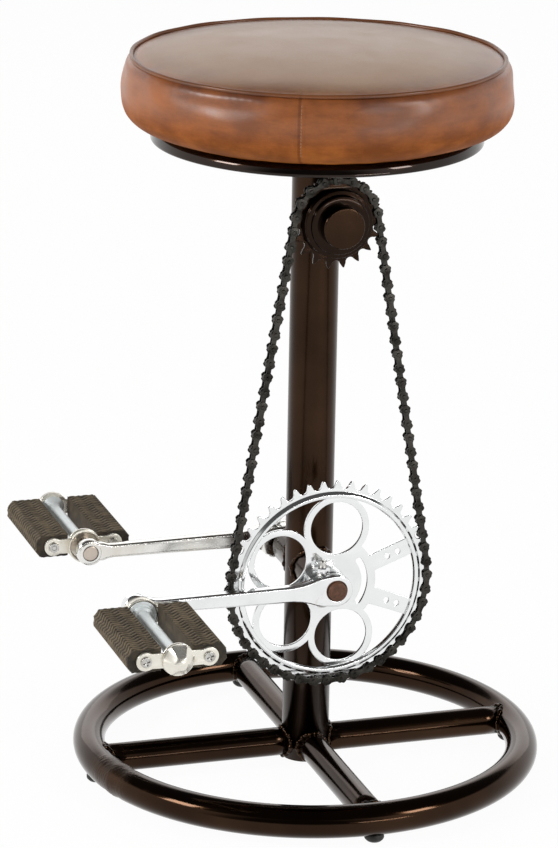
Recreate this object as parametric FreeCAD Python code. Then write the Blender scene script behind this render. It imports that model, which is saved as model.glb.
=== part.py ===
"""A counter stool built from bicycle parts: a round leather seat on a post and hoop base, with a
chain drive on the post and a pair of cranks and pedals that serve as the footrest.

Frame: millimetres, +Z up. The origin is on the floor under the post. The chain is on the -Y side
and both cranks point along -X.
"""

import FreeCAD, Part

import math
import os

from FreeCAD import Placement, Rotation, Vector

# Base hoop, spokes, feet and post
ring_diameter = 382.0           # to the tube's centre line
ring_tube = 28.0
spoke_tube = 25.0
foot_height = 6.0               # from the floor to the underside of the hoop
foot_diameter = 20.0
post_tube = 41.3
post_wall = 2.0
hoop_facets = 10                # flats round the hoop's tube
large_sides = 60                # sides of the large rings, whose flats then stray under 0.3 mm from round
medium_sides = 32
tube_sides = 24
small_sides = 16
weld_gap = 0.3                  # between tubes that are welded where they meet
seat_plate_top = 574.0          # height above the floor

# Drive: half-inch roller chain, chainring, sprocket
chain_pitch = 12.7
roller_diameter = 7.75
roller_width = 3.3
link_plate_thickness = 1.1
link_plate_height = 8.6
chainring_teeth = 44
sprocket_teeth = 18
run_pitches = 25                # links in each straight run of the chain
tooth_height = 3.4              # tip above the pitch circle
tooth_tip_width = 1.8
roller_seat_clearance = 0.08
tooth_thickness = 2.6
spindle_height = 185.0          # chainring centre above the floor
chain_line = 56.0               # chain's middle plane, from the post's centre

# Chainring cut-outs
chainring_rim_inner = 76.0
round_hole_radius = 23.5
round_hole_circle = 49.5
round_hole_angles = (83.0, 153.0, 218.0, 283.0)   # degrees from +X towards +Z
round_hole_web = 6.0
bar_angles = (21.0, -21.0)
bar_width = 15.0
bar_hole_radius = 2.5
bar_hole_radii = (56.0, 66.0)
hub_disc_radius = 42.0
hub_slot_radius = 32.0
hub_slot_width = 5.5
hub_slot_half_angle = 34.0

# Sprocket, its body and the stub that carries it
sprocket_body_radius = 29.5
sprocket_body_length = 17.0
sprocket_step_radius = 25.5
sprocket_step_length = 4.0
stub_tube = 36.0
stub_end = 79.0                 # end face, from the post's centre

# Shell, spindle, cranks and cotters
shell_half_length = 48.0
spindle_diameter = 16.5
spindle_overhang = 3.0          # past the crank's outer face
fit_clearance = 0.05            # round fits that are pressed, screwed or run
crank_length = 178.0
crank_outer_face = 80.0         # from the post's centre
crank_head_radius = 14.0
crank_head_reach = 17.0         # straight part of the head towards the arm
crank_head_taper = 20.0         # slope from the head down to the arm
crank_spigot_radius = 11.5
crank_spigot_overhang = 1.5     # behind the chainring
arm_root_height = 13.5
arm_tip_height = 11.0
arm_thickness = 10.0
arm_chamfer = 2.0
crank_eye_radius = 11.5
crank_eye_lip = 1.0             # the eye stands proud of the arm on both faces
cotter_diameter = 9.5
cotter_offset = 10.0            # from the spindle's centre towards the arm
cotter_overhang = 2.0           # below the head
cotter_stem_diameter = 6.4
cotter_stem_length = 11.0       # above the head
cotter_nut_width = 11.0
cotter_nut_height = 5.5

# Pedals, sizes along the axle counted from the crank's outer face
axle_thread_radius = 7.1
axle_collar_radius = 9.0
axle_collar_length = 5.0
axle_journal_radius = 5.0
pedal_cup_radius = 14.2
pedal_cup_wall = 1.6
pedal_cup_start = 7.5
pedal_cup_depth = 8.0
cone_play = 0.5
pedal_plate_thickness = 2.4
barrel_radius = 6.3
barrel_hole_radius = 6.4
block_length = 106.0
block_inner = 13.0              # near side of a rubber block, from the axle's centre
block_width = 30.0
block_height = 20.5
block_edge_slope = 5.0          # width of the slope above and below the outer side
block_edge_height = 8.0         # height of the flat outer side between the slopes
rod_offset = 27.0
rod_width = 5.0                 # across flats
rod_head_width = 9.0
rod_head_height = 2.5
ear_radius = 8.5
dust_cap_radius = 13.2
dust_cap_height = 14.0
dust_cap_straight = 5.0         # straight part below the dome
dust_cap_sides = 12
dust_cap_turns = (0, 35, 70)    # degrees up the dome where its slope changes
dust_cap_hollow_radius = 10.0
axle_nut_width = 14.0
axle_nut_height = 5.0
axle_nut_overhang = 1.0

# Seat
seat_plate_radius = 142.0
seat_plate_rim = 10.0
seat_plate_thickness = 3.0
seat_board_radius = 140.0
seat_board_thickness = 12.0
soft_gap = 0.3                  # between the cushion and what it touches
cushion_skirt = 8.0             # padding outside the board's edge at the bottom
cushion_side_radius = 167.5
cushion_side_height = 22.0      # upright part of the side band
cushion_lower_curve = 17.0      # height of the drawn-in curve under the band
cushion_upper_curve = 21.0      # height of the curve up to the piping
piping_circle_radius = 157.0
piping_radius = 2.8
crown_height = 11.0             # crown above the piping's centre
cushion_curve_steps = 3         # straight steps along each curve of the cushion's section

# Places that follow from the sizes above
ring_radius = ring_diameter / 2
ring_height = foot_height + ring_tube / 2
post_radius = post_tube / 2
shell_radius = stub_tube / 2
spindle_radius = spindle_diameter / 2
chainring_front = chain_line + tooth_thickness / 2
chainring_back = chain_line - tooth_thickness / 2
crank_inner_face = chainring_front
crank_middle = (crank_inner_face + crank_outer_face) / 2
roller_radius = roller_diameter / 2


def pitch_radius(teeth):
    """Radius of the circle through the roller centres on a wheel."""
    return chain_pitch / (2 * math.sin(math.pi / teeth))


# The run of chain on each side joins the last seated rollers of both wheels, which sets the height
# of the sprocket above the spindle.
chainring_seats = round(chainring_teeth * 0.27)
sprocket_seats = round(sprocket_teeth * 0.22)
chainring_wrap = chainring_seats * 2 * math.pi / chainring_teeth
sprocket_wrap = sprocket_seats * 2 * math.pi / sprocket_teeth
run_width = (pitch_radius(chainring_teeth) * math.sin(chainring_wrap)
             - pitch_radius(sprocket_teeth) * math.sin(sprocket_wrap))
run_rise = math.sqrt((run_pitches * chain_pitch) ** 2 - run_width ** 2)
sprocket_height = (spindle_height - pitch_radius(chainring_teeth) * math.cos(chainring_wrap)
                   + run_rise - pitch_radius(sprocket_teeth) * math.cos(sprocket_wrap))

os.makedirs("parts", exist_ok=True)


def save(name, *solids):
    """Writes one node; identical pieces share a node as separate solids."""
    shape = solids[0] if len(solids) == 1 else Part.makeCompound(list(solids))
    shape.exportStep("parts/" + name + ".step")


def around(radius, sides):
    """Corners of a regular outline in the XY plane."""
    turns = [2 * math.pi * i / sides for i in range(sides)]
    return [Vector(radius * math.cos(turn), radius * math.sin(turn), 0) for turn in turns]


def upright(x, y, radius, low, high, sides=0):
    """A bar along Z, round or with a number of sides."""
    if not sides:
        return Part.makeCylinder(radius, high - low, Vector(x, y, low), Vector(0, 0, 1))
    corners = [corner + Vector(x, y, low) for corner in around(radius, sides)]
    return Part.Face(Part.makePolygon(corners + corners[:1])).extrude(Vector(0, 0, high - low))


def across(x, z, radius, near, far, sides=0):
    """A bar along Y, from -Y distance near to -Y distance far."""
    bar = upright(0, 0, radius, near, far, sides)
    return laid(bar, x, z)


def clear_way(x, z, radius, near, far, sides):
    """A many-sided bar along Y that holds a round one of the radius, for cutting the way it turns in."""
    return across(x, z, radius / math.cos(math.pi / sides), near, far, sides)


def laid(solid, x, z):
    """Turns a piece that stands on the Z axis to lie along -Y at a place in the XZ plane."""
    solid.rotate(Vector(0, 0, 0), Vector(1, 0, 0), 90)
    solid.translate(Vector(x, 0, z))
    return solid


def spun(profile, sides=0):
    """A turned piece on the post's axis, round or many-sided; the profile lists (radius, height)."""
    if not sides:
        corners = [Vector(radius, 0, height) for radius, height in profile]
        face = Part.Face(Part.makePolygon(corners + corners[:1]))
        return face.revolve(Vector(0, 0, 0), Vector(0, 0, 1), 360)
    rings = [[corner + Vector(0, 0, height) for corner in around(radius, sides)]
             for radius, height in profile]
    at_axis = [radius < fit_clearance for radius, height in profile]
    faces = []
    for low, low_point, high, high_point in zip(rings, at_axis, rings[1:] + rings[:1],
                                                at_axis[1:] + at_axis[:1]):
        if low_point and high_point:
            continue
        for i in range(sides):
            j = (i + 1) % sides
            corners = [low[i]] if low_point else [low[i], low[j]]
            corners += [high[i]] if high_point else [high[j], high[i]]
            faces.append(Part.Face(Part.makePolygon(corners + corners[:1])))
    return Part.makeSolid(Part.makeShell(faces)).removeSplitter()


def turned(profile, x, z, sides=0):
    """A turned piece on an axis along Y; the profile lists (radius, -Y distance)."""
    return laid(spun(profile, sides), x, z)


def slab(wires, near, far):
    """A plate in the XZ plane with the first wire as its outline and the rest as openings."""
    pieces = []
    for wire in wires:
        face = Part.Face(wire)
        face.translate(Vector(0, -near, 0))
        pieces.append(face.extrude(Vector(0, near - far, 0)))
    return pieces[0].cut(pieces[1:]) if len(pieces) > 1 else pieces[0]


def outline(points):
    """A closed straight-sided outline in the XZ plane."""
    corners = [Vector(x, 0, z) for x, z in points]
    return Part.makePolygon(corners + corners[:1])


def polar(radius, angle, x=0.0, z=0.0):
    """A point in the XZ plane, angle in radians from +X towards +Z."""
    return Vector(x + radius * math.cos(angle), 0, z + radius * math.sin(angle))


def hexagon(across_flats, x=0.0, z=0.0):
    corner = across_flats / math.sqrt(3)
    points = [polar(corner, math.radians(60 * i), x, z) for i in range(6)]
    return Part.makePolygon(points + points[:1])


def mirrored(solid):
    """The same piece on the +Y side."""
    return solid.mirror(Vector(0, 0, 0), Vector(0, 1, 0))


# Base: hoop, four spokes and four feet
hoop_points = [(ring_radius + ring_tube / 2 * math.cos(math.pi * (2 * i + 1) / hoop_facets),
                ring_height + ring_tube / 2 * math.sin(math.pi * (2 * i + 1) / hoop_facets))
               for i in range(hoop_facets)]
save("base_ring", spun(hoop_points, large_sides))

hoop_seat = Part.makeCylinder(ring_tube / 2 + weld_gap, 2 * ring_tube,
                              Vector(-ring_tube, -ring_radius, ring_height), Vector(1, 0, 0))
post_seat = upright(0, 0, post_radius + weld_gap, 0, seat_plate_top)
spoke = across(0, ring_height, spoke_tube / 2, 0, ring_radius)
spoke = spoke.cut(hoop_seat).cut(post_seat)
foot = upright(ring_radius, 0, foot_diameter / 2, 0, foot_height, small_sides)
spokes, feet = [], []
for turn in range(4):
    for piece, pieces in ((spoke, spokes), (foot, feet)):
        copy = piece.copy()
        copy.rotate(Vector(0, 0, 0), Vector(0, 0, 1), 90 * turn)
        pieces.append(copy)
save("base_spokes", *spokes)
save("base_feet", *feet)

# Post, with the shell for the spindle passing right through it
spindle_end = crank_outer_face + spindle_overhang
post_top = seat_plate_top - seat_plate_thickness
post = upright(0, 0, post_radius, foot_height, post_top)
post = post.cut(upright(0, 0, post_radius - post_wall, foot_height, post_top))
post = post.cut(across(0, spindle_height, shell_radius + fit_clearance, -post_tube, post_tube))
save("post_tube", post)

shell = across(0, spindle_height, shell_radius, -shell_half_length, shell_half_length)
spindle_bore = across(0, spindle_height, spindle_radius + fit_clearance, -spindle_end, spindle_end,
                      small_sides)
shell = shell.cut(spindle_bore)
save("spindle_shell", shell)

# Spindle, notched for the two cotters
cotter_low = spindle_height - crank_head_radius - cotter_overhang
cotter_high = spindle_height + crank_head_radius
spindle = across(0, spindle_height, spindle_radius, -spindle_end, spindle_end, small_sides)
cotter_bore = upright(-cotter_offset, -crank_middle, cotter_diameter / 2 + fit_clearance,
                      cotter_low, cotter_high, small_sides)
spindle = spindle.cut(cotter_bore).cut(mirrored(cotter_bore))
save("crank_spindle", spindle)


# Cranks: a flat-faced head round the spindle, a tapered arm and an eye for the pedal axle
def arm_section(x, height):
    low = spindle_height - height / 2
    high = spindle_height + height / 2
    front = crank_outer_face
    back = crank_outer_face - arm_thickness
    cut = arm_chamfer
    corners = ((back, low + cut), (back + cut, low), (front - cut, low), (front, low + cut),
               (front, high - cut), (front - cut, high), (back + cut, high), (back, high - cut))
    points = [Vector(x, -depth, z) for depth, z in corners]
    return Part.makePolygon(points + points[:1])


def crank():
    half_arm = arm_root_height / 2
    top = spindle_height + crank_head_radius
    bottom = spindle_height - crank_head_radius
    reach = -crank_head_reach
    neck = -crank_head_reach - crank_head_taper
    rounded_end = [polar(crank_head_radius, math.pi * (0.5 - i / small_sides), 0, spindle_height)
                   for i in range(small_sides + 1)]
    head_points = [(point.x, point.z) for point in rounded_end]
    head_points += [(reach, bottom), (neck, spindle_height - half_arm), (neck, spindle_height + half_arm),
                    (reach, top)]
    head = slab([outline(head_points)], crank_inner_face, crank_outer_face)
    arm_ends = [arm_section(reach, arm_root_height), arm_section(-crank_length, arm_tip_height)]
    arm = Part.makeLoft(arm_ends, True, True)
    eye_back = crank_outer_face - arm_thickness - crank_eye_lip
    eye_front = crank_outer_face + crank_eye_lip
    eye = across(-crank_length, spindle_height, crank_eye_radius, eye_back, eye_front, medium_sides)
    body = head.fuse([arm, eye])
    thread = across(-crank_length, spindle_height, axle_thread_radius + fit_clearance, 0, spindle_end,
                    small_sides)
    return body.cut([spindle_bore, thread, cotter_bore])


plain_crank = crank()
spigot_end = chainring_back - crank_spigot_overhang
spigot = across(0, spindle_height, crank_spigot_radius, spigot_end, crank_inner_face, medium_sides)
spigot = spigot.cut([spindle_bore, cotter_bore])
save("near_crank", plain_crank.fuse(spigot).removeSplitter())
save("far_crank", mirrored(plain_crank.removeSplitter()))

# Cotters: pin and nut on each crank
stem_top = cotter_high + cotter_stem_length
stem_radius = cotter_stem_diameter / 2
pin = upright(-cotter_offset, -crank_middle, cotter_diameter / 2, cotter_low, cotter_high, small_sides)
pin = pin.fuse(upright(-cotter_offset, -crank_middle, stem_radius, cotter_high, stem_top, small_sides))
save("cotter_pins", pin, mirrored(pin))

nut = upright(-cotter_offset, -crank_middle, cotter_nut_width / math.sqrt(3), cotter_high,
              cotter_high + cotter_nut_height, 6)
stem_way = upright(-cotter_offset, -crank_middle, stem_radius + fit_clearance, cotter_high, stem_top,
                   small_sides)
nut = nut.cut(stem_way)
save("cotter_nuts", nut, mirrored(nut))


# Chain wheels: roller seats on the pitch circle with pointed teeth between them
def toothed_wire(teeth):
    """Outline of a chain wheel centred on the origin, with one roller seat on the -Z side."""
    circle = pitch_radius(teeth)
    seat = (roller_radius + roller_seat_clearance) / math.cos(math.radians(30))
    step = 2 * math.pi / teeth
    tip_radius = circle + tooth_height
    tip_half = tooth_tip_width / 2 / tip_radius
    points = []
    for i in range(teeth):
        middle = -math.pi / 2 + i * step
        centre = polar(circle, middle)
        points += [polar(seat, middle + math.pi + math.radians(bend), centre.x, centre.z)
                   for bend in (90, 30, -30, -90)]
        tooth = middle + step / 2
        points += [polar(tip_radius, tooth - tip_half), polar(tip_radius, tooth + tip_half)]
    return Part.makePolygon(points + points[:1])


def sector(inner, outer, start, end, near, far):
    """A piece of a flat ring between two angles in degrees, with straight steps of a few degrees."""
    steps = round((end - start) / 8)
    turns = [math.radians(start + (end - start) * i / steps) for i in range(steps + 1)]
    points = [polar(outer, turn) for turn in turns] + [polar(inner, turn) for turn in reversed(turns)]
    return slab([Part.makePolygon(points + points[:1])], near, far)


# Chainring: four round openings, small windows between them, and two barred openings on the right
ring = slab([toothed_wire(chainring_teeth)], chainring_back, chainring_front)
openings = [across(0, 0, crank_spigot_radius + fit_clearance, chainring_back, chainring_front, medium_sides)]
web_discs = []
for angle in round_hole_angles:
    spot = polar(round_hole_circle, math.radians(angle))
    hole, disc = (across(spot.x, spot.z, radius, chainring_back, chainring_front, medium_sides)
                  for radius in (round_hole_radius, round_hole_radius + round_hole_web))
    openings.append(hole)
    web_discs.append(disc)
for first, second in zip(round_hole_angles, round_hole_angles[1:]):
    window = sector(round_hole_circle, chainring_rim_inner, first, second, chainring_back, chainring_front)
    for disc in web_discs:
        window = window.cut(disc)
    openings += [piece for piece in window.Solids
                 if piece.CenterOfMass.Length > round_hole_circle]

barred = sector(hub_disc_radius, chainring_rim_inner, round_hole_angles[-1] - 360, round_hole_angles[0],
                chainring_back, chainring_front)
barred = barred.cut(web_discs[0]).cut(web_discs[-1])
for angle in bar_angles:
    half = bar_width / 2
    bar = slab([outline(((0, -half), (chainring_rim_inner, -half), (chainring_rim_inner, half), (0, half)))],
               chainring_back, chainring_front)
    bar.rotate(Vector(0, 0, 0), Vector(0, -1, 0), angle)
    barred = barred.cut(bar)
    for radius in bar_hole_radii:
        spot = polar(radius, math.radians(angle))
        openings.append(across(spot.x, spot.z, bar_hole_radius, chainring_back, chainring_front,
                               small_sides // 2))
openings += barred.Solids
openings.append(sector(hub_slot_radius - hub_slot_width / 2, hub_slot_radius + hub_slot_width / 2,
                       -hub_slot_half_angle, hub_slot_half_angle, chainring_back, chainring_front))
ring = ring.cut(openings)
ring.translate(Vector(0, 0, spindle_height))
save("chainring", ring)

# Sprocket on a stepped body, on a closed stub that is welded to the post
stub = across(0, sprocket_height, shell_radius, 0, stub_end, medium_sides).cut(post_seat)
save("sprocket_stub", stub)

cog_back = chain_line - tooth_thickness / 2
cog_front = chain_line + tooth_thickness / 2
cog_bore = across(0, 0, sprocket_body_radius + fit_clearance, cog_back, cog_front, medium_sides)
cog = slab([toothed_wire(sprocket_teeth)], cog_back, cog_front).cut(cog_bore)
cog.rotate(Vector(0, 0, 0), Vector(0, 1, 0), 180)
cog.translate(Vector(0, 0, sprocket_height))
save("sprocket", cog)

body_back = chain_line - sprocket_body_length / 2
body_front = chain_line + sprocket_body_length / 2
step_front = body_front + sprocket_step_length
body = turned([(0, body_back), (sprocket_body_radius, body_back), (sprocket_body_radius, body_front),
               (sprocket_step_radius, body_front), (sprocket_step_radius, step_front), (0, step_front)],
              0, sprocket_height, medium_sides)
body = body.cut(clear_way(0, sprocket_height, shell_radius + fit_clearance, 0, stub_end, medium_sides))
save("sprocket_body", body)


# Chain: rollers seated on both wheels and spaced one pitch apart along the two straight runs
def roller_centres():
    """Roller centres in order: round the chainring, up the right run, over the sprocket, down the left."""
    low, high = pitch_radius(chainring_teeth), pitch_radius(sprocket_teeth)
    lower = [polar(low, -math.pi / 2 + i * 2 * math.pi / chainring_teeth, 0, spindle_height)
             for i in range(-chainring_seats, chainring_seats + 1)]
    upper = [polar(high, math.pi / 2 + i * 2 * math.pi / sprocket_teeth, 0, sprocket_height)
             for i in range(-sprocket_seats, sprocket_seats + 1)]
    steps = [i / run_pitches for i in range(1, run_pitches)]
    right = [lower[-1] + (upper[0] - lower[-1]) * t for t in steps]
    left = [upper[-1] + (lower[0] - upper[-1]) * t for t in steps]
    return lower, right, upper, left


def link_plate(near, far):
    """A six-sided link plate lying along X."""
    half = link_plate_height / 2
    end = chain_pitch / 2 + half
    shoulder = chain_pitch / 2 - half / 4
    points = ((end, 0), (shoulder, half), (-shoulder, half), (-end, 0), (-shoulder, -half), (shoulder, -half))
    return slab([outline(points)], near, far)


def roller(x):
    corners = [polar(roller_radius, math.radians(60 * i), x) for i in range(6)]
    return slab([Part.makePolygon(corners + corners[:1])], -roller_width / 2, roller_width / 2)


plate_inside = roller_width / 2
plate_middle = plate_inside + link_plate_thickness
plate_outside = plate_middle + link_plate_thickness
inner_plate = link_plate(plate_inside, plate_middle)
outer_plate = link_plate(plate_middle, plate_outside)
inner_link = [inner_plate, mirrored(inner_plate), roller(-chain_pitch / 2), roller(chain_pitch / 2)]
outer_link = [outer_plate, mirrored(outer_plate)]


def chain_stretch(name, rollers, first):
    """The links between neighbouring rollers; links are inner and outer by turns."""
    links = []
    for i, (start, end) in enumerate(zip(rollers, rollers[1:])):
        way = end - start
        middle = (start + end) / 2 + Vector(0, -chain_line, 0)
        lean = Rotation(Vector(0, 1, 0), -math.degrees(math.atan2(way.z, way.x)))
        for piece in (inner_link if (first + i) % 2 else outer_link):
            link = piece.copy()
            link.Placement = Placement(middle, lean).multiply(piece.Placement)
            links.append(link)
    save(name, *links)
    return first + len(rollers) - 1


lower, right, upper, left = roller_centres()
count = chain_stretch("chain_lower_wrap", lower, 0)
count = chain_stretch("chain_right_run", lower[-1:] + right + upper[:1], count)
count = chain_stretch("chain_upper_wrap", upper, count)
count = chain_stretch("chain_left_run", upper[-1:] + left + lower[:1], count)
print("chain links:", count)

# Pedals, modelled on the near crank and mirrored for the far one
axis_x = -crank_length
axis_z = spindle_height
crank_face = crank_outer_face + crank_eye_lip
cup_start = crank_face + pedal_cup_start
cup_end = cup_start + pedal_cup_depth
inner_plate_back = cup_end - pedal_plate_thickness
block_end = cup_end + block_length
outer_plate_end = block_end + pedal_plate_thickness
nut_start = outer_plate_end + cone_play
axle_end = nut_start + axle_nut_height + axle_nut_overhang
run_radius = axle_journal_radius + fit_clearance
block_side = block_inner + block_width
rod_hole_width = rod_width + 2 * fit_clearance

# Axles screwed into the cranks' eyes, each with a collar, a bearing cone and a long journal
thread_start = crank_outer_face - arm_thickness - crank_eye_lip
collar_end = crank_face + axle_collar_length
cone_end = cup_end - pedal_cup_wall - cone_play
axle = turned([(0, thread_start), (axle_thread_radius, thread_start), (axle_thread_radius, crank_face),
               (axle_collar_radius, crank_face), (axle_collar_radius, collar_end),
               (axle_journal_radius, cone_end), (axle_journal_radius, axle_end), (0, axle_end)],
              axis_x, axis_z, small_sides)
save("pedal_axles", axle, mirrored(axle))
axle_nut = slab([hexagon(axle_nut_width, axis_x, axis_z)], nut_start, nut_start + axle_nut_height)
axle_nut = axle_nut.cut(across(axis_x, axis_z, run_radius + fit_clearance, nut_start, axle_end, small_sides))
save("pedal_axle_nuts", axle_nut, mirrored(axle_nut))


def cross_strap(near, far):
    """A strap across the pedal with a cut-off ear round each rod."""
    corner = ear_radius / math.cos(math.pi / 8)
    points = [polar(corner, math.radians(turn), axis_x + side * rod_offset, axis_z)
              for side, turns in ((1, (-67.5, -22.5, 22.5, 67.5)), (-1, (112.5, 157.5, 202.5, 247.5)))
              for turn in turns]
    holes = [hexagon(rod_hole_width, axis_x + side * rod_offset, axis_z) for side in (1, -1)]
    return slab([Part.makePolygon(points + points[:1])] + holes, near, far)


def inner_plate():
    """The strap on the crank's side, pressed in one piece with the bearing cup."""
    floor = cup_end - pedal_cup_wall
    inside = pedal_cup_radius - pedal_cup_wall
    bore = run_radius + cone_play
    cup = turned([(bore, cup_end), (pedal_cup_radius, cup_end), (pedal_cup_radius, cup_start),
                  (inside, cup_start), (inside, floor), (bore, floor)], axis_x, axis_z, tube_sides)
    space = across(axis_x, axis_z, pedal_cup_radius, inner_plate_back, cup_end, tube_sides)
    return cross_strap(inner_plate_back, cup_end).cut(space).fuse(cup).removeSplitter()


def rubber_block(side):
    """A rubber block with sloped outer edges and a way through for its rod."""
    half = block_height / 2
    flat = block_edge_height / 2
    inner, edge, outer = (axis_x + side * reach
                          for reach in (block_inner, block_side - block_edge_slope, block_side))
    points = ((inner, axis_z - half), (edge, axis_z - half), (outer, axis_z - flat), (outer, axis_z + flat),
              (edge, axis_z + half), (inner, axis_z + half))
    hole = hexagon(rod_hole_width, axis_x + side * rod_offset, axis_z)
    return slab([outline(points), hole], cup_end, block_end)


def pedal_rod(side):
    """A rod through both straps and the block, headed at each end."""
    x = axis_x + side * rod_offset
    rod = slab([hexagon(rod_width, x, axis_z)], inner_plate_back - rod_head_height,
               outer_plate_end + rod_head_height)
    heads = [slab([hexagon(rod_head_width, x, axis_z)], start, start + rod_head_height)
             for start in (inner_plate_back - rod_head_height, outer_plate_end)]
    return rod.fuse(heads).removeSplitter()


def dust_cap():
    """A domed cap with flats for a spanner, over the axle's end and hollow inside."""
    dome_height = dust_cap_height - dust_cap_straight
    hollow_end = axle_end + cone_play
    profile = [(0, hollow_end), (dust_cap_hollow_radius, hollow_end),
               (dust_cap_hollow_radius, outer_plate_end), (dust_cap_radius, outer_plate_end)]
    for turn in dust_cap_turns:
        rise = dome_height * math.sin(math.radians(turn)) / math.sin(math.radians(dust_cap_turns[-1]))
        profile.append((dust_cap_radius * math.cos(math.radians(turn)),
                        outer_plate_end + dust_cap_straight + rise))
    profile.append((0, outer_plate_end + dust_cap_height))
    return turned(profile, axis_x, axis_z, dust_cap_sides)


barrel = across(axis_x, axis_z, barrel_radius, cup_end, outer_plate_end, tube_sides)
barrel = barrel.cut(clear_way(axis_x, axis_z, run_radius, cup_end, outer_plate_end, tube_sides))
barrel_way = across(axis_x, axis_z, barrel_hole_radius, block_end, outer_plate_end, tube_sides)
outer_plate = cross_strap(block_end, outer_plate_end).cut(barrel_way)
pedal_pieces = {
    "pedal_inner_plate": [inner_plate()],
    "pedal_barrel": [barrel],
    "pedal_outer_plate": [outer_plate],
    "pedal_block_left": [rubber_block(-1)],
    "pedal_block_right": [rubber_block(1)],
    "pedal_rods": [pedal_rod(-1), pedal_rod(1)],
    "pedal_dust_cap": [dust_cap()],
}
for name, solids in pedal_pieces.items():
    save("near_" + name, *solids)
    save("far_" + name, *(mirrored(solid) for solid in solids))


# Seat: pressed plate on the post, plywood board, cushion with a crown and drawn-in sides, piping
plate_low = seat_plate_top - seat_plate_rim
plate_inside_radius = seat_plate_radius - seat_plate_thickness
pan = spun([(0, post_top), (plate_inside_radius, post_top), (plate_inside_radius, plate_low),
            (seat_plate_radius, plate_low), (seat_plate_radius, seat_plate_top), (0, seat_plate_top)],
           large_sides)
save("seat_plate", pan)

board_top = seat_plate_top + seat_board_thickness
save("seat_board", upright(0, 0, seat_board_radius, seat_plate_top, board_top, large_sides))

cushion_low = seat_plate_top + soft_gap
board_side = seat_board_radius + soft_gap
skirt_edge = board_side + cushion_skirt
band_low = cushion_low + cushion_lower_curve
band_high = band_low + cushion_side_height
piping_height = band_high + cushion_upper_curve
notch = (piping_radius + soft_gap) * math.sqrt(0.5)
band_end = (piping_circle_radius, piping_height - 2 * notch)
crown_start = (piping_circle_radius - 2 * notch, piping_height)
crown_top = piping_height + crown_height


def bowed(start, end, bulge):
    """Points along an arc of the section, which bulges to the right of the way it runs."""
    a, b = Vector(start[0], 0, start[1]), Vector(end[0], 0, end[1])
    way = b - a
    side = Vector(way.z, 0, -way.x).normalize()
    arc = Part.Arc(a, (a + b) / 2 + side * bulge, b).toShape()
    return [(point.x, point.z) for point in arc.discretize(cushion_curve_steps + 1)]


side_low = (cushion_side_radius, band_low)
side_high = (cushion_side_radius, band_high)
lower_bulge = 0.2 * math.hypot(side_low[0] - skirt_edge, cushion_lower_curve)
upper_bulge = 0.14 * math.hypot(side_high[0] - band_end[0], band_end[1] - band_high)
crown_ball = (crown_start[0] ** 2 + crown_height ** 2) / (2 * crown_height)
crown_bulge = crown_ball - math.sqrt(crown_ball ** 2 - (crown_start[0] ** 2 + crown_height ** 2) / 4)
cushion = [(0, board_top + soft_gap), (board_side, board_top + soft_gap), (board_side, cushion_low)]
cushion += bowed((skirt_edge, cushion_low), side_low, lower_bulge)
cushion += bowed(side_high, band_end, upper_bulge)
cushion += bowed(crown_start, (0, crown_top), crown_bulge)
save("seat_cushion", spun(cushion, large_sides))

piping = [(piping_circle_radius + piping_radius * math.cos(math.radians(45 + 90 * i)),
           piping_height + piping_radius * math.sin(math.radians(45 + 90 * i))) for i in range(4)]
save("seat_piping", spun(piping, large_sides))
print("seat height:", round(crown_top, 1), "sprocket height:", round(sprocket_height, 1))
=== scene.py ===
import math

import bpy
import numpy as np
from mathutils import Matrix, Vector


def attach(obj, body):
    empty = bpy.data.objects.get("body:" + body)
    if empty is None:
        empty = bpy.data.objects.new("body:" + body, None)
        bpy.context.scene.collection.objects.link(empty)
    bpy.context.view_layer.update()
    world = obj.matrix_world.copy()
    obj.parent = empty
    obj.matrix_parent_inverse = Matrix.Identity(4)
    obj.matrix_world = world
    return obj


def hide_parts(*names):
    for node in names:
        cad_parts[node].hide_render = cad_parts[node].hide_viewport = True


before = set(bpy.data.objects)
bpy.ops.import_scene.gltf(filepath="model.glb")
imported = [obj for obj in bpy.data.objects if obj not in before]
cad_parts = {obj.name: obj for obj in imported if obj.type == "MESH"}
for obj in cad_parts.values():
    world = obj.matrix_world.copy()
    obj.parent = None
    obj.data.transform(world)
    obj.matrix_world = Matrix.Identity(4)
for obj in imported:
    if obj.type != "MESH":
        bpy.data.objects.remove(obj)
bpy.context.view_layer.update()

scene = bpy.context.scene
scene.view_settings.view_transform = "Standard"


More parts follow.
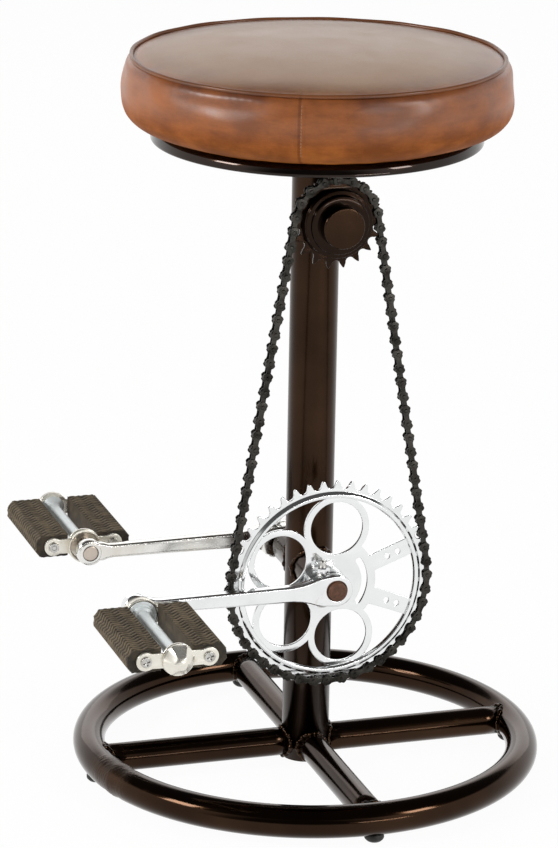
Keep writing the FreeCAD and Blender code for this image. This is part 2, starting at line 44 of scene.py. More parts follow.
# Studio: a white floor and white walls with a darker ceiling, a large soft light from the upper left
# and weaker ones from the right, from behind and low in front. The camera has a long lens and looks down.
class Wire:
    """One socket among a finish's nodes; sums written with it add Math nodes."""

    def __init__(self, socket):
        self.socket = socket

    def node(self, kind, settings=None, inputs=None, out=0):
        """Adds any other node and gives one of its outputs."""
        tree = self.socket.id_data
        made = tree.nodes.new(kind)
        for key, value in (settings or {}).items():
            setattr(made, key, value)
        for key, value in (inputs or {}).items():
            if isinstance(value, Wire):
                tree.links.new(value.socket, made.inputs[key])
            else:
                made.inputs[key].default_value = value
        return Wire(made.outputs[out])

    def sum(self, operation, *terms):
        return self.node("ShaderNodeMath", {"operation": operation}, dict(enumerate(terms)))

    def __add__(self, other):
        return self.sum("ADD", self, other)

    def __sub__(self, other):
        return self.sum("SUBTRACT", self, other)

    def __mul__(self, other):
        return self.sum("MULTIPLY", self, other)

    def __radd__(self, other):
        return self.sum("ADD", other, self)

    def __rsub__(self, other):
        return self.sum("SUBTRACT", other, self)

    def __rmul__(self, other):
        return self.sum("MULTIPLY", other, self)

    def between(self, low, high):
        """0 below low, 1 above high, smooth in between."""
        return self.node("ShaderNodeMapRange", {"interpolation_type": "SMOOTHSTEP"}, {0: self, 1: low, 2: high})

    def mix(self, first, second):
        """The first colour where this is 0, the second where it is 1."""
        return self.node("ShaderNodeMix", {"data_type": "RGBA"}, {0: self, 6: first, 7: second}, 2)

    def most(self, other):
        return self.sum("MAXIMUM", self, other)

    def along(self, way):
        """How far a place lies along a direction."""
        return self.node("ShaderNodeVectorMath", {"operation": "DOT_PRODUCT"}, {0: self, 1: tuple(way)}, 1)

    def stretched(self, scale):
        return self.node("ShaderNodeMapping", {}, {"Vector": self, "Scale": scale})


def feed(shader, wires):
    for key, wire in wires.items():
        shader.id_data.links.new(wire.socket, shader.inputs[key])


def ray_kinds(tree):
    """Marks of the rays that come from the camera, off a mirror and through glass."""
    outputs = tree.nodes.new("ShaderNodeLightPath").outputs
    return (Wire(outputs[kind]) for kind in ("Is Camera Ray", "Is Glossy Ray", "Is Transmission Ray"))


studio = bpy.data.worlds.new("studio")
studio.use_nodes = True
scene.world = studio
backing = studio.node_tree.nodes["Background"]
way = Wire(studio.node_tree.nodes.new("ShaderNodeTexCoord").outputs["Generated"])
height = way.node("ShaderNodeSeparateXYZ", {}, {0: way}, 2)
camera_ray, mirror_ray, clear_ray = ray_kinds(studio.node_tree)
ceiling = height.between(0.44, 0.54)
dark_side = way.along((-0.36, -0.93, 0.0)).between(0.6, 0.9) * height.between(-0.02, 0.06)
mirrored = 1.0 - (ceiling * 0.93).most(dark_side * 0.9)
fill_level = 0.52
level = mirror_ray * mirrored + (1.0 - mirror_ray) * fill_level
direct = camera_ray.most(clear_ray)
feed(backing, {"Strength": direct + (1.0 - direct) * level})
backing.inputs["Color"].default_value = (1, 1, 1, 1)


def softbox(name, place, aim, size, power):
    lamp = bpy.data.lights.new(name, "AREA")
    lamp.shape = "RECTANGLE"
    lamp.size, lamp.size_y = size
    lamp.energy = power
    holder = bpy.data.objects.new(name, lamp)
    holder.location = place
    holder.rotation_euler = (Vector(aim) - Vector(place)).to_track_quat("-Z", "Y").to_euler()
    scene.collection.objects.link(holder)


softbox("light_left", (-2.85, -0.3, 1.9), (0, 0, 0.35), (0.9, 0.8), 56)
softbox("light_right", (1.75, -1.95, 1.6), (0, 0, 0.35), (0.7, 0.6), 22)
softbox("light_back", (0.92, 2.85, 1.5), (0, 0, 0.64), (4.0, 1.3), 11.7)
softbox("light_low", (1.15, -3.3, 0.42), (0, 0, 0.2), (1.5, 0.1), 9)


def shape(name, points, faces):
    """A new piece from its points and faces, in metres."""
    mesh = bpy.data.meshes.new(name)
    mesh.from_pydata([tuple(p) for p in points], [], [tuple(f) for f in faces])
    mesh.validate()
    mesh.update()
    mesh.shade_smooth()
    piece = bpy.data.objects.new(name, mesh)
    scene.collection.objects.link(piece)
    return piece


floor = shape("floor", [(-30, -30, 0), (30, -30, 0), (30, 30, 0), (-30, 30, 0)], [(0, 1, 2, 3)])
white = bpy.data.materials.new("floor_white")
white.use_nodes = True
paper = white.node_tree.nodes["Principled BSDF"]
paper.inputs["Base Color"].default_value = (0.9, 0.9, 0.9, 1)
paper.inputs["Roughness"].default_value = 0.9
paper.inputs["Specular IOR Level"].default_value = 0.1
camera_ray, mirror_ray, clear_ray = ray_kinds(white.node_tree)
seen = camera_ray.most(mirror_ray).most(clear_ray)
glow = seen.node("ShaderNodeEmission", {}, {"Color": (1, 1, 1, 1), "Strength": 1.0})
both = seen.node("ShaderNodeMixShader", {}, {0: seen * 0.96, 1: Wire(paper.outputs[0]), 2: glow})
feed(white.node_tree.nodes["Material Output"], {"Surface": both})
floor.data.materials.append(white)

forward = Vector((0.2921, 0.9100, -0.2941)).normalized()
level_right = Vector((0.9521, -0.3056, 0.0)).normalized()
roll = 0.0178
up = level_right.cross(forward)
right = level_right * math.cos(roll) + up * math.sin(roll)
up = right.cross(forward)
eye = bpy.data.objects.new("camera", bpy.data.cameras.new("camera"))
eye.data.lens = 175.0
eye.data.sensor_width = 36.0
eye.data.clip_end = 100.0
eye.matrix_world = Matrix((
    (right.x, up.x, -forward.x, -1.0668),
    (right.y, up.y, -forward.y, -3.2319),
    (right.z, up.z, -forward.z, 1.3577),
    (0, 0, 0, 1)))
scene.collection.objects.link(eye)
scene.camera = eye


# Base: a hoop bent from round tube, closed by one butt weld, with four spokes of thinner tube and
# small feet under the spoke ends. All of it has a glossy brown-black metallic lacquer.
hoop_radius, hoop_tube, hoop_height = 0.191, 0.014, 0.020
spoke_tube, post_radius = 0.0125, 0.02065


def new_finish(name, constants):
    material = bpy.data.materials.new(name)
    material.use_nodes = True
    shader = material.node_tree.nodes["Principled BSDF"]
    for key, value in constants.items():
        shader.inputs[key].default_value = value
    place = Wire(material.node_tree.nodes.new("ShaderNodeTexCoord").outputs["Object"])
    return material, shader, place


def noise(place, scale, detail=3.0, rough=0.5):
    return place.node("ShaderNodeTexNoise", {}, {"Vector": place, "Scale": scale, "Detail": detail,
                                                "Roughness": rough})


def bump(height, strength, distance):
    return height.node("ShaderNodeBump", {}, {"Strength": strength, "Distance": distance, "Height": height})


def lacquer_finish(name, dark, light, roughness, spot=None, clear=0.1):
    """Brown metal lacquer: fine flake, slow drifts of tone, orange peel and rubbed places; where a spot
    is given, the ground-down patch of a weld."""
    material, shader, place = new_finish(name, {"Metallic": 1.0, "Coat Weight": clear, "Coat Roughness": 0.07})
    drift = noise(place, 11.0, 3.0)
    flake = noise(place, 2600.0, 1.0)
    scuff = noise(place, 60.0, 6.0, 0.65).between(0.58, 0.8)
    tone = drift.between(0.35, 0.68) * 0.7 + flake.between(0.5, 0.75) * 0.3
    gloss = roughness + scuff * 0.16 + drift * 0.06
    surface = noise(place, 420.0, 2.0) * 0.12 + noise(place, 45.0, 2.0)
    if spot:
        away = place.node("ShaderNodeVectorMath", {"operation": "DISTANCE"}, {0: place, 1: spot}, 1)
        ground = 1.0 - away.between(0.012, 0.036)
        marks = noise(place.stretched((160.0, 420.0, 160.0)), 1.0, 3.0)
        gloss = gloss + ground * 0.26
        surface = surface + ground * marks * 14.0
        tone = tone + ground * marks * 0.9
    feed(shader, {"Base Color": tone.mix(dark, light), "Roughness": gloss, "Normal": bump(surface, 0.12, 0.0005)})
    return material


brown_dark, brown_light = (0.02, 0.0096, 0.0046, 1), (0.045, 0.0225, 0.0112, 1)
brown_lacquer = lacquer_finish("brown_lacquer", brown_dark, brown_light, 0.14)
weld_turn = math.radians(196)
hoop_lacquer = lacquer_finish("hoop_lacquer", brown_dark, brown_light, 0.09,
                              (hoop_radius * math.cos(weld_turn), hoop_radius * math.sin(weld_turn), 0.026))


def dress(piece, material, body, slot, *nodes):
    """Gives a piece its finish, hangs it on its body and hides the CAD parts that it stands for."""
    piece.data.materials.clear()
    piece.data.materials.append(material)
    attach(piece, body)
    if nodes:
        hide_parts(*nodes)


def skin(rows, sides, closed=False):
    """Faces between the rows of points that go round a piece."""
    faces = []
    for i in range(rows if closed else rows - 1):
        j = (i + 1) % rows
        for k in range(sides):
            n = (k + 1) % sides
            faces.append((i * sides + k, i * sides + n, j * sides + n, j * sides + k))
    return faces


def turning(count):
    return [2 * math.pi * i / count for i in range(count)]


def swept(name, path, radii, sides, closed=False):
    """A tube along a path; radii gives the radius at each point of the path."""
    path = [Vector(p) for p in path]
    count = len(path)
    points, side = [], None
    for i, spot in enumerate(path):
        if closed:
            ahead = path[(i + 1) % count] - path[i - 1]
        else:
            ahead = path[min(i + 1, count - 1)] - path[max(i - 1, 0)]
        ahead.normalize()
        if side is None:
            side = ahead.orthogonal().normalized()
        side = (side - ahead * side.dot(ahead)).normalized()
        other = ahead.cross(side)
        for turn in turning(sides):
            points.append(spot + (side * math.cos(turn) + other * math.sin(turn)) * radii[i])
    faces = skin(count, sides, closed)
    if not closed:
        faces.append(tuple(range(sides))[::-1])
        faces.append(tuple((count - 1) * sides + k for k in range(sides)))
    return shape(name, points, faces)


hoop_path = [(hoop_radius * math.cos(t), hoop_radius * math.sin(t), hoop_height) for t in turning(192)]
hoop_sizes = []
for t in turning(192):
    away = abs((t - weld_turn + math.pi) % (2 * math.pi) - math.pi) * hoop_radius
    bulge, ground_away = 0.0009 * math.exp(-(away / 0.004) ** 2), 0.0004 * math.exp(-((away - 0.008) / 0.004) ** 2)
    hoop_sizes.append(hoop_tube + bulge - ground_away)
hoop = swept("hoop", hoop_path, hoop_sizes, 40, True)
dress(hoop, hoop_lacquer, "stool", "brown_paint", "base_ring")


def gathered(pieces):
    """Points and faces of several pieces in one list; the pieces are taken away."""
    points, faces = [], []
    for piece in pieces:
        start = len(points)
        points += [tuple(v.co) for v in piece.data.vertices]
        faces += [tuple(start + i for i in f.vertices) for f in piece.data.polygons]
        bpy.data.objects.remove(piece)
    return points, faces


def joined(name, *pieces):
    """Several pieces as one mesh."""
    return shape(name, *gathered(pieces))


def turned_about_post(point, quarter):
    x, y, z = point
    return ((x, y, z), (-y, x, z), (-x, -y, z), (y, -x, z))[quarter]


def bead(name, path, size, seed):
    """A weld bead: low blobs laid along a joint, uneven and run together."""
    sizes = []
    for i in range(len(path)):
        lump = (0.22 * math.sin(i * 1.1 + seed) + 0.2 * math.sin(i * 0.43 + 2 * seed)
                + 0.16 * math.sin(i * 0.19 + seed * seed))
        sizes.append(size * (0.92 + lump))
    return swept(name, path, sizes, 10, True)


spoke_pieces, bead_pieces = [], []
for quarter in range(4):
    ends = [turned_about_post((x, 0, hoop_height), quarter) for x in np.linspace(0.016, 0.181, 12)]
    spoke_pieces.append(swept("spoke", ends, [spoke_tube] * 12, 36))
    at_post, at_hoop = [], []
    for t in turning(84):
        y, z = spoke_tube * math.sin(t), spoke_tube * math.cos(t)
        reach = hoop_radius - math.sqrt(max(hoop_tube ** 2 - z ** 2, 0.0))
        for path, x in ((at_post, math.sqrt(post_radius ** 2 - y ** 2) + 0.0006),
                        (at_hoop, math.sqrt(reach ** 2 - y ** 2) - 0.0006)):
            path.append(turned_about_post((x, y, hoop_height + z), quarter))
    bead_pieces.append(bead("bead", at_post, 0.0023, quarter))
    bead_pieces.append(bead("bead", at_hoop, 0.0016, quarter + 0.5))
spokes = joined("spokes", *spoke_pieces)
dress(spokes, brown_lacquer, "stool", "brown_paint", "base_spokes")
base_beads = joined("base_welds", *bead_pieces)
dress(base_beads, brown_lacquer, "stool", "brown_paint")


def lathe(name, profile, steps, place=(0, 0, 0), along="z"):
    """A turned piece; the profile lists (radius, distance along the axis). Along y the distance runs to -Y."""
    points, faces, rows = [], [], []
    for radius, far in profile:
        row = []
        for t in turning(steps) if radius > 1e-7 else [0.0]:
            a, b = radius * math.cos(t), radius * math.sin(t)
            row.append(len(points))
            spot = (a, b, far) if along == "z" else (a, -far, b)
            points.append(tuple(p + q for p, q in zip(spot, place)))
        rows.append(row)
    for low, high in zip(rows, rows[1:]):
        for k in range(steps):
            n = (k + 1) % steps
            if len(low) == 1 and len(high) > 1:
                faces.append((low[0], high[n], high[k]))
            elif len(high) == 1 and len(low) > 1:
                faces.append((low[k], low[n], high[0]))
            elif len(low) > 1:
                faces.append((low[k], low[n], high[n], high[k]))
    return shape(name, points, faces)


def softened(profile, size, steps=3):
    """The same profile with its inside corners rounded."""
    out = [profile[0]]
    for before, corner, after in zip(profile, profile[1:], profile[2:]):
        a, b, c = (Vector(p) for p in (before, corner, after))
        first, second = a - b, c - b
        cut = min(size, first.length * 0.45, second.length * 0.45)
        p, q = b + first.normalized() * cut, b + second.normalized() * cut
        for i in range(steps + 1):
            t = i / steps
            spot = p * (1 - t) ** 2 + b * 2 * t * (1 - t) + q * t ** 2
            out.append((spot.x, spot.y))
    out.append(profile[-1])
    return out


foot_black, shader, place = new_finish("foot_plastic", {"IOR": 1.45})
dust = noise(place, 180.0, 4.0)
feed(shader, {"Base Color": dust.between(0.4, 0.8).mix((0.012, 0.011, 0.01, 1), (0.05, 0.046, 0.042, 1)),
              "Roughness": 0.45 + dust * 0.2, "Normal": bump(noise(place, 900.0), 0.15, 0.0004)})
foot_profile = softened([(0, 0.0001), (0.0055, 0.0002), (0.0084, 0.003), (0.0086, 0.0055), (0.0078, 0.0078),
                         (0, 0.008)], 0.0014)
feet = joined("feet", *(lathe("foot", foot_profile, 32, turned_about_post((hoop_radius, 0, 0), q)) for q in range(4)))
dress(feet, foot_black, "stool", "foot_plastic", "base_feet")


# Post: one length of the same lacquered tube from the spokes to the seat plate. The spindle shell
# passes through it and is welded all round, and so is the stub that carries the sprocket.
spindle_z, sprocket_z = 0.185, 0.5045
shell_radius, shell_half, stub_end = 0.018, 0.048, 0.079
post = lathe("post", [(post_radius - 0.002, 0.0065), (post_radius, 0.006), (post_radius, 0.2), (post_radius, 0.4),
                      (post_radius, 0.571)], 64)
post_lacquer = lacquer_finish("post_lacquer", brown_dark, brown_light, 0.27)
dress(post, post_lacquer, "stool", "brown_paint", "post_tube")
shell_profile = softened([(0.0083, -shell_half), (shell_radius, -shell_half), (shell_radius, shell_half),
                          (0.0083, shell_half)], 0.0012)
shell = lathe("spindle_shell_tube", shell_profile, 64, (0, 0, spindle_z), "y")
dress(shell, brown_lacquer, "stool", "brown_paint", "spindle_shell")
stub_profile = softened([(shell_radius, 0.012), (shell_radius, stub_end), (0, stub_end)], 0.0016, 4)
stub = lathe("stub", stub_profile, 64, (0, 0, sprocket_z), "y")
dress(stub, brown_lacquer, "stool", "brown_paint", "sprocket_stub")
post_bead_pieces = []
for z, sides in ((spindle_z, (-1, 1)), (sprocket_z, (-1,))):
    for side in sides:
        path = []
        for t in turning(96):
            x, h = shell_radius * math.cos(t), shell_radius * math.sin(t)
            path.append((x * 1.05, side * (math.sqrt(post_radius ** 2 - x ** 2) + 0.0004), z + h * 1.05))
        post_bead_pieces.append(bead("bead", path, 0.0022, z * 40 + side))
seat_bead = [(post_radius * math.cos(t) * 1.04, post_radius * math.sin(t) * 1.04, 0.5705) for t in turning(96)]
post_bead_pieces.append(bead("bead", seat_bead, 0.0022, 3.3))
post_beads = joined("post_welds", *post_bead_pieces)
dress(post_beads, brown_lacquer, "stool", "brown_paint")


# Seat plate: a round pan pressed from sheet steel, lacquered like the post, with its rim turned
# down. Four wood screws come up through it into the plywood board inside the cushion.
plate_profile = softened([(0, 0.571), (0.1353, 0.571), (0.1368, 0.5642), (0.139, 0.563), (0.1414, 0.5642),
                          (0.1413, 0.5662), (0.1404, 0.5698), (0.1386, 0.5726), (0.136, 0.5738), (0, 0.574)],
                         0.0024, 5)
seat_pan = lathe("seat_pan", plate_profile, 160)
pan_lacquer = lacquer_finish("pan_lacquer", (0.008, 0.0032, 0.0014, 1), (0.022, 0.01, 0.0045, 1), 0.12,
                             clear=0.5)
dress(seat_pan, pan_lacquer, "stool", "brown_paint", "seat_plate")
bright_steel, shader, place = new_finish("bright_steel", {"Metallic": 1.0})
rub = noise(place, 140.0, 5.0, 0.6)
feed(shader, {"Base Color": rub.between(0.35, 0.75).mix((0.62, 0.61, 0.58, 1), (0.4, 0.38, 0.35, 1)),
              "Roughness": 0.2 + rub * 0.25, "Normal": bump(rub, 0.05, 0.0003)})
screw_profile = softened([(0.0022, 0.571), (0.0042, 0.571), (0.0042, 0.5698), (0.0028, 0.5685), (0, 0.5683)], 0.0006)
screws = joined("seat_screws", *(lathe("screw", screw_profile, 24, (0.09 * math.cos(t), 0.09 * math.sin(t), 0))
                                 for t in (0.785, 2.356, 3.927, 5.498)))
dress(screws, bright_steel, "stool", "bright_steel")
plywood, shader, place = new_finish("plywood", {"IOR": 1.45})
grain = noise(place.stretched((14.0, 160.0, 160.0)), 1.0, 5.0)
feed(shader, {"Base Color": grain.between(0.35, 0.7).mix((0.42, 0.27, 0.14, 1), (0.56, 0.4, 0.23, 1)),
              "Roughness": 0.6 + grain * 0.2, "Normal": bump(grain, 0.1, 0.0004)})


def sharp(piece, angle):
    """Edges that bend more than the angle stay crisp."""
    piece.data.set_sharp_from_angle(angle=math.radians(angle))


board = lathe("ply_board", softened([(0, 0.5741), (0.1362, 0.5741), (0.1368, 0.5856), (0, 0.5859)], 0.0012), 128)
sharp(board, 40)
dress(board, plywood, "stool", "plywood", "seat_board")


# Cushion: foam on the board in a cover of waxed brown leather, a round top panel and a side band
# sewn together over piping, drawn in under the rim and stapled below. Wear has darkened it in places;
# painted shade darkens it under the piping, in the seam's groove and, with the wear, towards the top's rim.
piping_radius, piping_height = 0.157, 0.6343
tuck_radius, tuck_height, belly, belly_rise = 0.1425, 0.5768, 0.025, 0.0205
band_radius, shoulder_radius, shoulder_height = 0.1675, 0.1672, 0.6125
shoulder_in, shoulder_rise = 0.0087, 0.021
panel_radius, panel_height, crown, crown_curve, crown_top = 0.1555, 0.6342, 0.0109, 3.2, 0.6451
most_swell = 0.005
seam_turn = math.radians(246.6)
seam_way = Vector((math.cos(seam_turn), math.sin(seam_turn), 0))
seam_side = Vector((-seam_way.y, seam_way.x, 0))


def leather_finish(name, tan, ember, deep, panel):
    """Waxed hide: clouds of tone, burnished streaks, pores and creases. The band is dry and turns
    warmer towards its lower edge; the top panel has its own tone and more polish. Painted shade
    darkens the band just under the piping and along the seam's groove; the top panel darkens
    towards its rim, partly from wear and partly as painted shade where its sheen falls away."""
    material, shader, place = new_finish(name, {"IOR": 1.15, "Coat IOR": 1.5, "Coat Roughness": 0.36})
    polished = material.node_tree.nodes.new("ShaderNodeBsdfPrincipled")
    for key, value in (("IOR", 1.12), ("Coat IOR", 1.5), ("Coat Roughness", 0.16)):
        polished.inputs[key].default_value = value
    height = place.node("ShaderNodeSeparateXYZ", {}, {0: place}, 2)
    flat = place.node("ShaderNodeVectorMath", {"operation": "MULTIPLY"}, {0: place, 1: (1.0, 1.0, 0.0)})
    reach = place.node("ShaderNodeVectorMath", {"operation": "LENGTH"}, {0: flat}, 1)
    wide = noise(place, 6.0, 4.0, 0.55)
    patch = noise(place, 21.0, 5.0, 0.6)
    streak = noise(place.stretched((1.0, 1.0, 3.4)), 26.0, 6.0, 0.68)
    pores = place.node("ShaderNodeTexVoronoi", {"feature": "SMOOTH_F1"}, {"Vector": place, "Scale": 640.0,
                                                                          "Smoothness": 0.6})
    on_top = height.between(0.6335, 0.6365)
    # Painted shade: the band is darkened just under the piping, which overhangs it.
    shade_under_piping = height.between(0.616, 0.633) * (1.0 - on_top)
    low_edge = 1.0 - height.between(0.577, 0.597)
    cloud = (wide * 0.45 + patch * 0.3 + streak * 0.25).between(0.42, 0.6)
    grain = bump(pores * 0.5 + noise(place, 1500.0, 2.0) * 0.35 + streak * 1.1, 0.2, 0.001)
    # Painted shade: a dark line along the groove of the side seam.
    across = place.along(seam_side)
    seam_groove_shade = (1.0 - across.sum("ABSOLUTE", across).between(0.0004, 0.0019)) * place.along(seam_way).between(0.1, 0.12)
    feed(shader, {"Base Color": (cloud * 0.75 + shade_under_piping * 0.35 + seam_groove_shade * 0.4).mix(low_edge.mix(tan, ember), deep),
                  "Roughness": 0.5 + patch * 0.14 + streak * 0.1,
                  "Coat Weight": 0.05 + height.between(0.59, 0.612) * (0.35 + patch * 1.1), "Normal": grain})
    # The top panel darkens towards its rim: partly wear, partly painted shade where the sheen of the middle falls
    # away.
    rubbed = reach.between(0.105, 0.156) * (0.35 + cloud * 0.65)
    feed(polished, {"Base Color": (rubbed * 0.75 + cloud * 0.15).mix(panel, deep), "Roughness": 0.45 + patch * 0.2,
                    "Coat Weight": 0.15 + streak * 0.36 + wide * 0.26, "Normal": grain})
    both = place.node("ShaderNodeMixShader", {}, {0: on_top, 1: Wire(shader.outputs[0]),
                                                  2: Wire(polished.outputs[0])})
    feed(material.node_tree.nodes["Material Output"], {"Surface": both})
    return material


cognac = leather_finish("cognac_leather", (0.33, 0.1, 0.022, 1), (0.42, 0.135, 0.027, 1), (0.12, 0.031, 0.0075, 1),
                        (0.25, 0.125, 0.045, 1))


def cushion_profile(slack):
    """Half section of the cushion; slack draws the faces in between the sewn edges."""
    points = [(0, 0.5743), (0.132, 0.5741), (0.1412, 0.5736), (0.1424, 0.575)]
    for i in range(10):
        t = i / 10 * math.pi / 2
        points.append((tuck_radius + (belly - slack) * math.sin(t), tuck_height + belly_rise * (1 - math.cos(t))))
    points += [(band_radius - slack, 0.5985), (band_radius - slack, 0.606), (shoulder_radius - slack, shoulder_height)]
    for i in range(1, 8):
        t = i / 8 * math.pi / 2
        points.append((shoulder_radius - slack - (shoulder_in - slack) * (1 - math.cos(t)),
                       shoulder_height + shoulder_rise * math.sin(t)))
    points += [(0.1572, 0.6336), (panel_radius, panel_height)]
    for i in range(1, 14):
        t = i / 14
        points.append((panel_radius * (1 - t), panel_height + (crown - slack) * (1 - (1 - t) ** crown_curve)))
    points.append((0, crown_top - slack))
    return points


cushion = lathe("cushion", cushion_profile(0.0015), 144)
for other in bpy.context.selected_objects:
    other.select_set(False)
bpy.context.view_layer.objects.active = cushion
cushion.select_set(True)
cushion.data.remesh_voxel_size = 0.005
bpy.ops.object.voxel_remesh()
start = np.array([v.co[:] for v in cushion.data.vertices])
held = cushion.vertex_groups.new(name="held")
reach = np.hypot(start[:, 0], start[:, 1])
sewn = np.hypot(reach - piping_radius, start[:, 2] - piping_height)
for i in range(len(start)):
    if start[i, 2] < 0.58 or sewn[i] < 0.0065:
        held.add([i], 1.0, "REPLACE")
cloth = cushion.modifiers.new("cover", "CLOTH")
cover = cloth.settings
cover.quality, cover.mass = 6, 0.4
cover.tension_stiffness = cover.compression_stiffness = 40
cover.bending_stiffness = 4
cover.use_pressure, cover.uniform_pressure_force = True, 4
cover.vertex_group_mass = "held"
cover.effector_weights.gravity = 0
cloth.collision_settings.use_collision = False
cloth.point_cache.frame_start = 1
cloth.point_cache.frame_end = 20
for step in range(1, 21):
    scene.frame_set(step)
settled = cushion.evaluated_get(bpy.context.evaluated_depsgraph_get()).data
end = np.array([v.co[:] for v in settled.vertices])
scene.frame_set(1)
cushion.modifiers.remove(cloth)
move = end - start
far = np.linalg.norm(move, axis=1, keepdims=True)
move *= np.minimum(1.0, most_swell / np.maximum(far, 1e-9))
for vertex, spot in zip(cushion.data.vertices, start + move):
    vertex.co = spot
cushion.data.update()


def settle(piece):
    """Makes a piece's modifiers part of its mesh."""
    piece.data = bpy.data.meshes.new_from_object(piece.evaluated_get(bpy.context.evaluated_depsgraph_get()))
    piece.modifiers.clear()
    piece.data.shade_smooth()


ease = cushion.modifiers.new("ease", "SMOOTH")
ease.factor, ease.iterations = 0.5, 4
fine = cushion.modifiers.new("fine", "SUBSURF")
fine.levels = fine.render_levels = 1
settle(cushion)
# Sags of the cover under the piping: from one angle to another, each with its depth.
sags = ((198, 247, 0.0015), (247, 292, 0.001), (300, 338, 0.0009), (345, 30, 0.001), (40, 82, 0.0009),
        (92, 140, 0.0011), (148, 195, 0.001))
for vertex in cushion.data.vertices:
    spot = vertex.co
    reach = math.hypot(spot.x, spot.y)
    if reach > 0.145 and spot.z < 0.6335:
        across = spot.dot(seam_side)
        if spot.dot(seam_way) > 0:
            spot -= seam_way * 0.0011 * math.exp(-(across / 0.0022) ** 2)
    if reach > 1e-6:
        turn = math.atan2(spot.y, spot.x)
        pull = 0.0006 * math.sin(9 * turn + 1.0) + 0.0005 * math.sin(17 * turn + 90 * spot.z) - 0.0006
        weight = math.exp(-((spot.z - 0.617) / 0.014) ** 2) if reach > 0.15 else 0.0
        for sag_from, sag_to, depth in sags:
            along = ((math.degrees(turn) - sag_from) % 360) / ((sag_to - sag_from) % 360)
            if along < 1 and reach > 0.145:
                fade = math.sin(math.pi * along)
                fold = 0.6285 - 0.0075 * fade
                swell = 0.7 * math.exp(-((spot.z - fold + 0.012) / 0.009) ** 2)
                push = swell - math.exp(-((spot.z - fold) / 0.0065) ** 2)
                spot.x += spot.x / reach * push * depth * fade
                spot.y += spot.y / reach * push * depth * fade
        spot.x += spot.x / reach * pull * weight
        spot.y += spot.y / reach * pull * weight
    spot.z = max(spot.z, 0.5735)
dress(cushion, cognac, "stool", "leather", "seat_cushion")

cord_leather = leather_finish("piping_leather", (0.26, 0.09, 0.026, 1), (0.26, 0.09, 0.026, 1), (0.1, 0.032, 0.011, 1),
                              (0.17, 0.058, 0.018, 1))
cord_path = []
for t in turning(240):
    drift = 0.0004 * math.sin(3 * t + 0.5) + 0.0002 * math.sin(17 * t)
    cord_path.append(((piping_radius + 0.0006 + drift) * math.cos(t), (piping_radius + 0.0006 + drift) * math.sin(t),
                      piping_height + 0.0002 + drift * 0.6))
piping = swept("piping", cord_path, [0.0018] * len(cord_path), 14, True)
dress(piping, cord_leather, "stool", "piping_leather", "seat_piping")

thread, shader, place = new_finish("seat_thread", {"Sheen Weight": 0.2})
twist = noise(place, 1800.0, 2.0)
feed(shader, {"Base Color": twist.between(0.3, 0.7).mix((0.34, 0.16, 0.065, 1), (0.22, 0.095, 0.036, 1)),
              "Roughness": 0.6 + twist * 0.2, "Normal": bump(twist, 0.4, 0.0004)})
stitch_pieces = []
for z in np.arange(0.587, 0.629, 0.0027):
    if z < 0.597:
        bow = tuck_radius + belly * math.sqrt(max(0.0, 1 - (1 - (z - tuck_height) / belly_rise) ** 2))
    elif z < shoulder_height:
        bow = band_radius
    else:
        level = (z - shoulder_height) / shoulder_rise
        bow = shoulder_radius - shoulder_in * (1 - math.sqrt(max(0.0, 1 - level ** 2)))
    side = 0.0019
    ends = [seam_way * math.sqrt((bow - sink) ** 2 - side ** 2) + seam_side * side + Vector((0, 0, z + h))
            for h, sink in ((-0.0009, 0.0008), (0.0, 0.0), (0.0009, 0.0008))]
    stitch_pieces.append(swept("stitch", ends, [0.00025, 0.0004, 0.00025], 6))
stitches = joined("seat_stitches", *stitch_pieces)
dress(stitches, thread, "stool", "leather")


# Cranks: forged steel, chrome plated, with a flat face and rounded edges. Each is held on the
# lacquered spindle by a cotter pin that is drawn up by a nut; the near one also carries the chainring.
def chrome_finish(name, bright, dull, roughness, tint, metallic=1.0):
    """Plating with faint clouds, fine pits and a breath of tarnish in places."""
    material, shader, place = new_finish(name, {"Metallic": metallic, "IOR": 2.0})
    cloud = noise(place, 34.0, 4.0, 0.55)
    pits = noise(place, 850.0, 3.0, 0.6)
    stain = noise(place, 70.0, 6.0, 0.7).between(0.6, 0.78)
    colour = (cloud.between(0.35, 0.75) * 0.6).mix(bright, dull)
    colour = (stain * 0.5).mix(colour, tint)
    feed(shader, {"Base Color": colour, "Roughness": roughness + cloud * 0.08 + stain * 0.12,
                  "Normal": bump(pits * 0.4 + cloud, 0.035, 0.0006)})
    return material


chrome = chrome_finish("chrome", (0.86, 0.87, 0.87, 1), (0.74, 0.75, 0.75, 1), 0.1, (0.6, 0.57, 0.52, 1))


def plate(name, outlines, near, far, bevel, place=(0, 0)):
    """A flat plate with rounded edges; outlines in the XZ plane, depth towards -Y."""
    curve = bpy.data.curves.new("outline", "CURVE")
    curve.dimensions = "2D"
    curve.fill_mode = "BOTH"
    curve.extrude = (far - near) / 2 - bevel
    curve.bevel_depth = bevel
    curve.bevel_resolution = 2
    curve.offset = -bevel
    for line in outlines:
        spline = curve.splines.new("POLY")
        spline.points.add(len(line) - 1)
        for point, (x, z) in zip(spline.points, line):
            point.co = (x, z, 0, 1)
        spline.use_cyclic_u = True
    holder = bpy.data.objects.new("outline", curve)
    mesh = bpy.data.meshes.new_from_object(holder)
    middle = (near + far) / 2
    points = [(v.co.x + place[0], -middle - v.co.z, v.co.y + place[1]) for v in mesh.vertices]
    faces = [tuple(f.vertices) for f in mesh.polygons]
    bpy.data.objects.remove(holder)
    bpy.data.curves.remove(curve)
    bpy.data.meshes.remove(mesh)
    piece = shape(name, points, faces)
    piece.modifiers.new("weld", "WELD").merge_threshold = 0.00002
    settle(piece)
    sharp(piece, 32)
    return piece


def arc(cx, cz, radius, start, end, steps):
    """Points along an arc, angles in degrees from +X towards +Z."""
    turns = [math.radians(start + (end - start) * i / steps) for i in range(steps + 1)]
    return [(cx + radius * math.cos(t), cz + radius * math.sin(t)) for t in turns]


